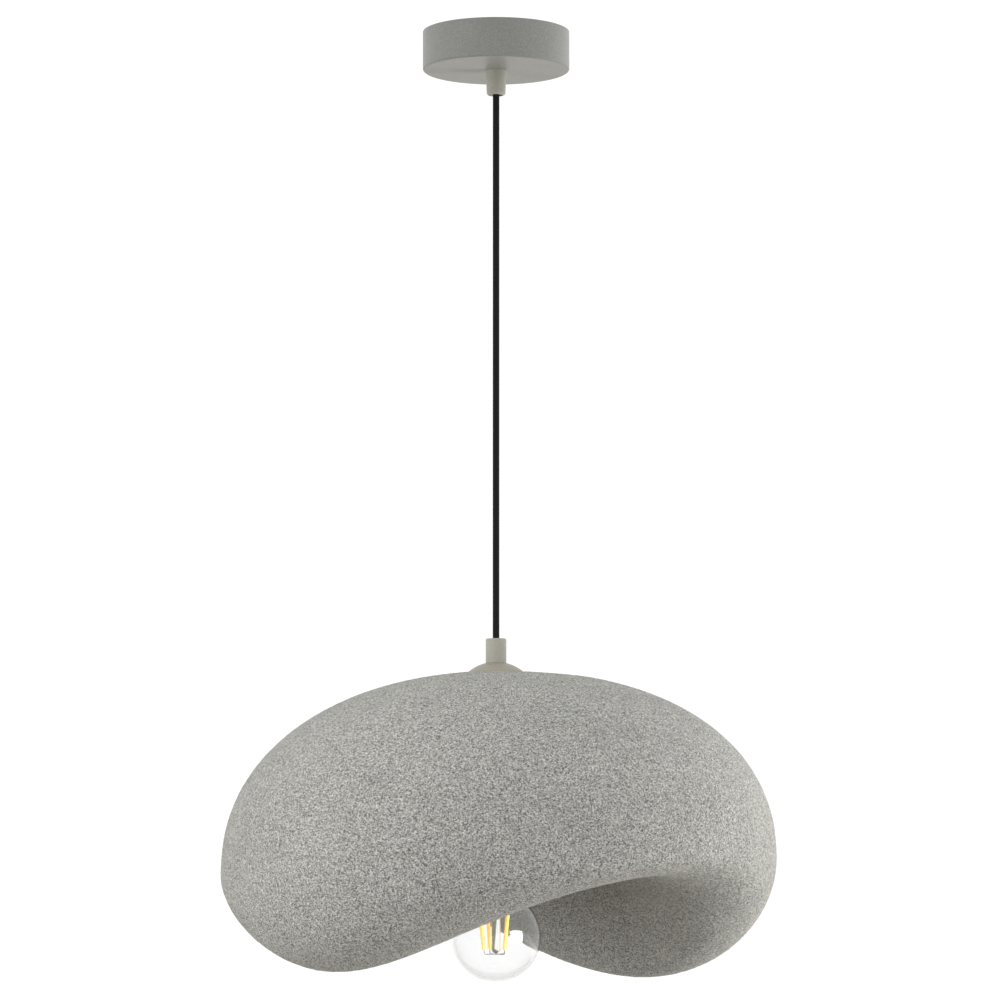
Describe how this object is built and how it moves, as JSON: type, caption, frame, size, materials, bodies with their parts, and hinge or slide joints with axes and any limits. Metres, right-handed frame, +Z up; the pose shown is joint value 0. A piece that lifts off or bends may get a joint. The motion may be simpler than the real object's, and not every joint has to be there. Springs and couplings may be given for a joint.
{
  "type": "pendant ceiling light",
  "caption": "Pendant ceiling light with a round canopy, a taut textile cord and a broad arched sand-textured shade over a clear screw-in filament bulb.",
  "frame": {"origin": "centre of the ceiling plane: the top face of the bracket and canopy, midway between the two slotted ceiling-screw holes", "axes": "+Z up through the ceiling, so the light hangs along -Z; +X along the bracket, towards its right-hand slot; +Y to the back, on the side of the terminal block and of both clamp screws"},
  "size_m": [0.3709, 0.3698, 0.644],
  "materials": {
    "canopy_paint": "satin",
    "cap_paint": "satin",
    "cord_braid": "matte",
    "sand_coating": "matte",
    "zinc_steel": "satin",
    "brass": "satin",
    "white_insulator": "satin",
    "block_plastic": "matte",
    "holder_plastic": "satin",
    "core_brown": "satin",
    "core_blue": "satin",
    "core_green": "satin",
    "bulb_nickel": "polished",
    "solder": "satin",
    "black_glass": "gloss",
    "driver_board": "matte",
    "clear_glass": "gloss",
    "filament_phosphor": "matte",
    "bare_wire": "satin"
  },
  "bodies": {
    "ceiling": {"ceiling_bracket": "zinc_steel", "canopy_cup": "canopy_paint", "canopy_side_screws": "zinc_steel", "earth_screw": "zinc_steel", "earth_ring_terminal": "brass", "terminal_block": "block_plastic", "terminal_block_screw": "zinc_steel", "terminal_sleeves": "brass", "terminal_screws": "zinc_steel", "wire_live": "core_brown", "wire_neutral": "core_blue", "wire_earth": "core_green", "upper_gland_body": "canopy_paint", "upper_gland_washer": "zinc_steel", "upper_gland_nut": "zinc_steel", "upper_gland_clamp_screw": "zinc_steel", "upper_cord_tail": "cord_braid"},
    "cord_top": {"cord_head": "cord_braid"},
    "cord": {"suspension_cord": "cord_braid"},
    "pendant": {"lower_cord_tail": "cord_braid", "lower_gland_body": "canopy_paint", "lower_gland_clamp_screw": "zinc_steel", "dome_cap": "cap_paint", "threaded_nipple": "zinc_steel", "shade": "sand_coating", "shade_backing_plate": "zinc_steel", "shade_nut": "zinc_steel", "lampholder_cap": "canopy_paint", "lampholder_lock_screw": "zinc_steel", "lampholder_insert": "white_insulator", "lampholder_terminal_plates": "brass", "lampholder_contact_rivets": "brass", "lampholder_terminal_screws": "zinc_steel", "lampholder_earth_screw": "zinc_steel", "lampholder_centre_contact": "brass", "lampholder_thread_shell": "brass", "lampholder_shell": "holder_plastic", "lamp_wire_live": "core_brown", "lamp_wire_neutral": "core_blue", "lamp_wire_earth": "core_green"},
    "bulb_tip": {"bulb_centre_contact": "solder"},
    "bulb": {"bulb_screw_cap": "bulb_nickel", "bulb_insulator": "black_glass", "bulb_driver": "driver_board", "bulb_glass": "clear_glass", "bulb_stem": "clear_glass", "bulb_filaments": "filament_phosphor", "bulb_support_wires": "bare_wire"}
  },
  "joints": [
    {"name": "swing_fore_aft", "type": "hinge", "parent": "ceiling", "child": "cord_top", "pos_m": [0, 0, -0.041], "axis": [1, 0, 0], "range_deg": [-25, 25]},
    {"name": "swing_sideways", "type": "hinge", "parent": "cord_top", "child": "cord", "pos_m": [0, 0, -0.041], "axis": [0, 1, 0], "range_deg": [-25, 25]},
    {"name": "cord_twist", "type": "hinge", "parent": "cord", "child": "pendant", "pos_m": [0, 0, -0.414], "axis": [0, 0, 1], "range_deg": [-180, 180]},
    {"name": "bulb_travel", "type": "slide", "parent": "pendant", "child": "bulb_tip", "axis": [0, 0, -1], "range_m": [0, 0.01089]},
    {"name": "bulb_turn", "type": "hinge", "parent": "bulb_tip", "child": "bulb", "pos_m": [0, 0, -0.5375], "axis": [0, 0, -1], "range_deg": [0, 1080]}
  ],
  "couplings": [
    {"joint": "bulb_turn", "follows": "bulb_travel", "rad_per_m": 1730.9}
  ]
}
